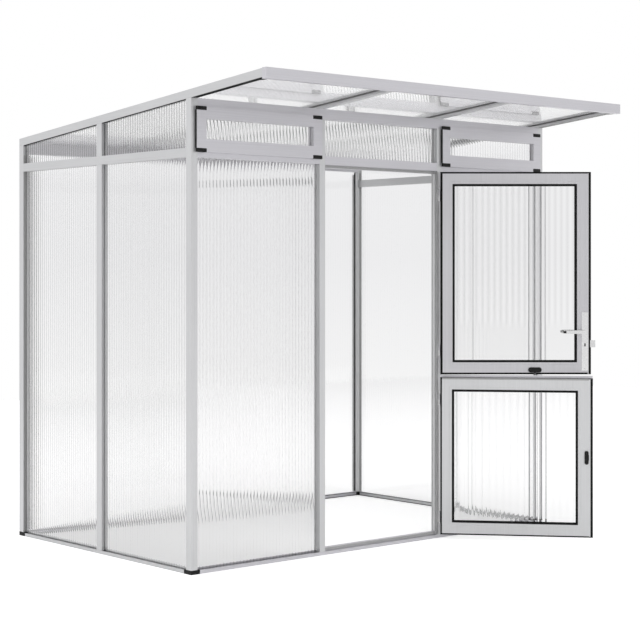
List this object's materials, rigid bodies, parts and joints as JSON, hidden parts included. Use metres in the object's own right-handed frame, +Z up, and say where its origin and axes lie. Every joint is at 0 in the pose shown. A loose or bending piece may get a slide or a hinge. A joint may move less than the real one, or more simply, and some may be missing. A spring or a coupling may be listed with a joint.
{
  "type": "lean-to greenhouse",
  "caption": "Lean-to greenhouse with aluminium frame, clear ribbed panels, sloping roof that runs out over the front, a stable door in two leaves and top-hung vents",
  "frame": {"origin": "centre of the underside of the back base rail, midway along the width, on the ground plane", "axes": "+X to the right along the front as seen from the front, +Y towards the house wall, +Z up; the front wall and its door face -Y"},
  "size_m": [2.44, 2.1531, 2.2962],
  "materials": {
    "frame_aluminium": "satin anodised silver",
    "clear_sheet": "clear sheet with fine upright ribs",
    "black_plastic": "matte black moulding",
    "lock_steel": "satin steel",
    "lever_chrome": "polished chrome"
  },
  "bodies": {
    "frame": {"base_rail_front": "frame_aluminium", "base_rail_back": "frame_aluminium", "base_rail_left": "frame_aluminium", "base_rail_right": "frame_aluminium", "foot_front_left": "black_plastic", "foot_front_right": "black_plastic", "foot_back_left": "black_plastic", "foot_back_right": "black_plastic", "corner_post_front_left": "frame_aluminium", "corner_post_front_right": "frame_aluminium", "corner_post_back_left": "frame_aluminium", "corner_post_back_right": "frame_aluminium", "door_post_left": "frame_aluminium", "door_post_right": "frame_aluminium", "gable_post_left": "frame_aluminium", "gable_post_right": "frame_aluminium", "back_post_left": "frame_aluminium", "back_post_right": "frame_aluminium", "front_transom": "frame_aluminium", "front_header": "frame_aluminium", "back_eave_rail": "frame_aluminium", "gable_rail_left": "frame_aluminium", "gable_rail_right": "frame_aluminium", "roof_fascia": "frame_aluminium", "rafter_left": "frame_aluminium", "rafter_inner_left": "frame_aluminium", "rafter_inner_right": "frame_aluminium", "rafter_right": "frame_aluminium", "roof_panel_left": "clear_sheet", "roof_panel_middle": "clear_sheet", "roof_panel_right": "clear_sheet", "front_panel_left": "clear_sheet", "front_panel_right": "clear_sheet", "front_panel_upper_middle": "clear_sheet", "back_panel_left": "clear_sheet", "back_panel_middle": "clear_sheet", "back_panel_right": "clear_sheet", "gable_left_panel_lower_front": "clear_sheet", "gable_left_panel_lower_back": "clear_sheet", "gable_left_panel_upper_front": "clear_sheet", "gable_left_panel_upper_back": "clear_sheet", "gable_right_panel_lower_front": "clear_sheet", "gable_right_panel_lower_back": "clear_sheet", "gable_right_panel_upper_front": "clear_sheet", "gable_right_panel_upper_back": "clear_sheet", "upper_hinge_strip": "lock_steel", "lower_hinge_strip": "lock_steel"},
    "upper_leaf": {"upper_leaf_frame": "frame_aluminium", "upper_leaf_pane": "clear_sheet", "lever_backplate": "lock_steel"},
    "lever": {"lever_handle": "lever_chrome"},
    "latch": {"latch_tongue": "lock_steel"},
    "upper_bolt": {"upper_leaf_bolt": "black_plastic"},
    "lower_leaf": {"lower_leaf_frame": "frame_aluminium", "lower_leaf_pane": "clear_sheet"},
    "lower_bolt": {"lower_leaf_bolt": "black_plastic"},
    "left_vent": {"vent_left_sash": "frame_aluminium", "vent_left_pane": "clear_sheet"},
    "right_vent": {"vent_right_sash": "frame_aluminium", "vent_right_pane": "clear_sheet"}
  },
  "joints": [
    {"name": "upper_leaf_hinge", "type": "hinge", "parent": "frame", "child": "upper_leaf", "pos_m": [0.395, -1.519, 1.3965], "axis": [0, 0, 1], "range_deg": [-138.9, 31]},
    {"name": "lower_leaf_hinge", "type": "hinge", "parent": "frame", "child": "lower_leaf", "pos_m": [0.395, -1.519, 0.4215], "axis": [0, 0, 1], "range_deg": [-130.8, 39.1]},
    {"name": "lever_turn", "type": "hinge", "parent": "upper_leaf", "child": "lever", "pos_m": [0.96922, -2.01992, 1.086], "axis": [-0.6574, -0.7536, 0], "range_deg": [0, 45], "stiffness_Nm_per_rad": 0.8, "springref_deg": -20.05},
    {"name": "latch_slide", "type": "slide", "parent": "upper_leaf", "child": "latch", "axis": [-0.7536, 0.6574, 0], "range_m": [0, 0.026]},
    {"name": "upper_bolt_slide", "type": "slide", "parent": "upper_leaf", "child": "upper_bolt", "axis": [0, 0, -1], "range_m": [0, 0.031]},
    {"name": "lower_bolt_slide", "type": "slide", "parent": "lower_leaf", "child": "lower_bolt", "axis": [0.6534, -0.757, 0], "range_m": [0, 0.007]},
    {"name": "left_vent_hinge", "type": "hinge", "parent": "frame", "child": "left_vent", "pos_m": [-0.8127, -1.5185, 2.16689], "axis": [-1, 0, 0], "range_deg": [0, 50]},
    {"name": "right_vent_hinge", "type": "hinge", "parent": "frame", "child": "right_vent", "pos_m": [0.8021, -1.5185, 2.16689], "axis": [-1, 0, 0], "range_deg": [0, 50]}
  ],
  "couplings": [
    {"joint": "latch_slide", "follows": "lever_turn", "m_per_rad": 0.0331}
  ]
}
